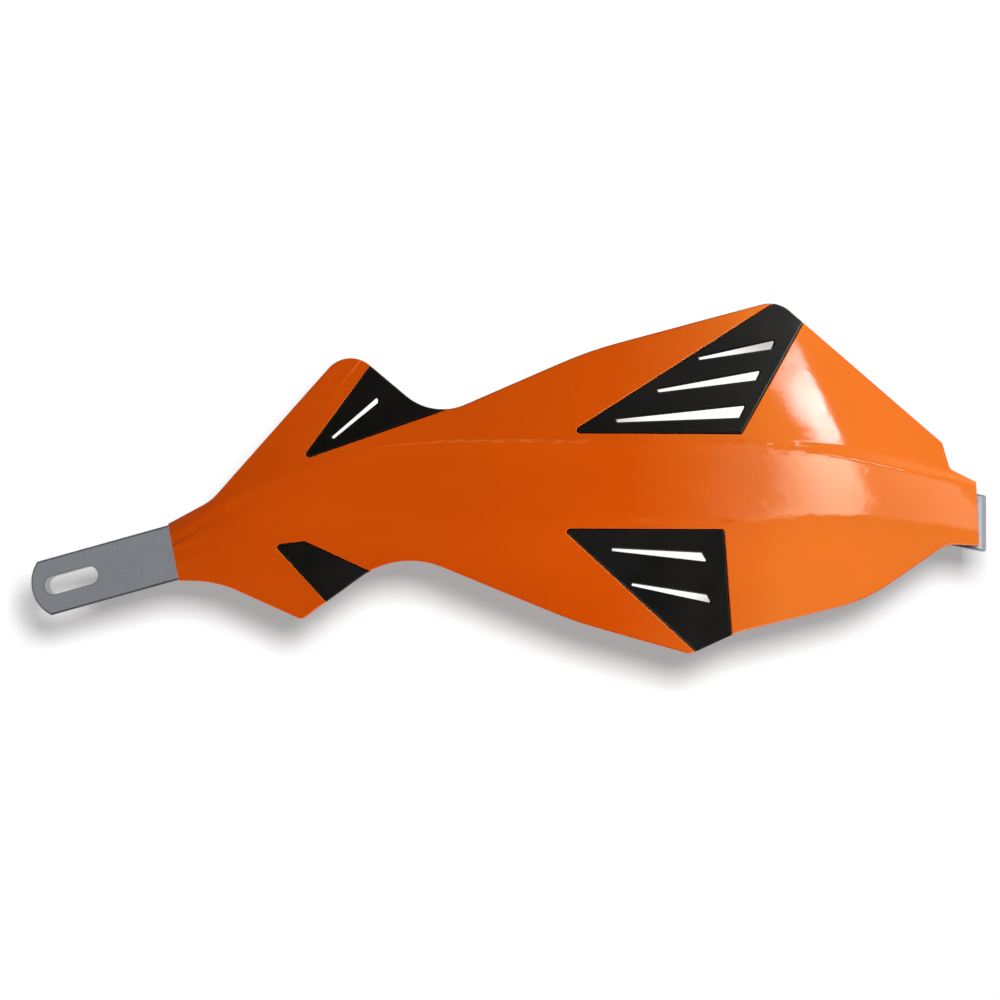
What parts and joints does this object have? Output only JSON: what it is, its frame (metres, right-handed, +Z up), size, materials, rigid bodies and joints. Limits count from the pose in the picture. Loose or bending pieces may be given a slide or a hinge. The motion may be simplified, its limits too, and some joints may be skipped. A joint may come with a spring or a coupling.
{
  "type": "motorcycle hand guard",
  "caption": "Left-hand wrap-around motorcycle hand guard: moulded orange shell with vented black inserts, bolted on a bent flat aluminium bar with a slotted inner end.",
  "frame": {"origin": "centre of the bolt hole in the outer end of the bar, on the handlebar axis", "axes": "+X outward along the handlebar, +Y back towards the rider, +Z up"},
  "size_m": [0.3427, 0.0956, 0.1249],
  "materials": {
    "bar_aluminium": "satin",
    "orange_plastic": "semi-gloss moulded",
    "black_plastic": "fine satin grain",
    "zinc_steel": "bright zinc plated",
    "brass": "turned"
  },
  "bodies": {
    "root": {"bar": "bar_aluminium", "shell": "orange_plastic", "insert_upper_outer": "black_plastic", "insert_screw_upper_outer_1": "zinc_steel", "insert_screw_upper_outer_2": "zinc_steel", "insert_screw_upper_outer_3": "zinc_steel", "insert_lower_outer": "black_plastic", "insert_screw_lower_outer_1": "zinc_steel", "insert_screw_lower_outer_2": "zinc_steel", "insert_screw_lower_outer_3": "zinc_steel", "insert_upper_inner": "black_plastic", "insert_screw_upper_inner_1": "zinc_steel", "insert_screw_upper_inner_2": "zinc_steel", "insert_lower_inner": "black_plastic", "insert_screw_lower_inner_1": "zinc_steel", "insert_screw_lower_inner_2": "zinc_steel", "bar_screw_inner": "zinc_steel", "bar_washer_inner": "zinc_steel", "threaded_insert_inner": "brass", "bar_screw_middle": "zinc_steel", "bar_washer_middle": "zinc_steel", "threaded_insert_middle": "brass", "bar_screw_outer": "zinc_steel", "bar_washer_outer": "zinc_steel", "threaded_insert_outer": "brass"}
  },
  "joints": []
}
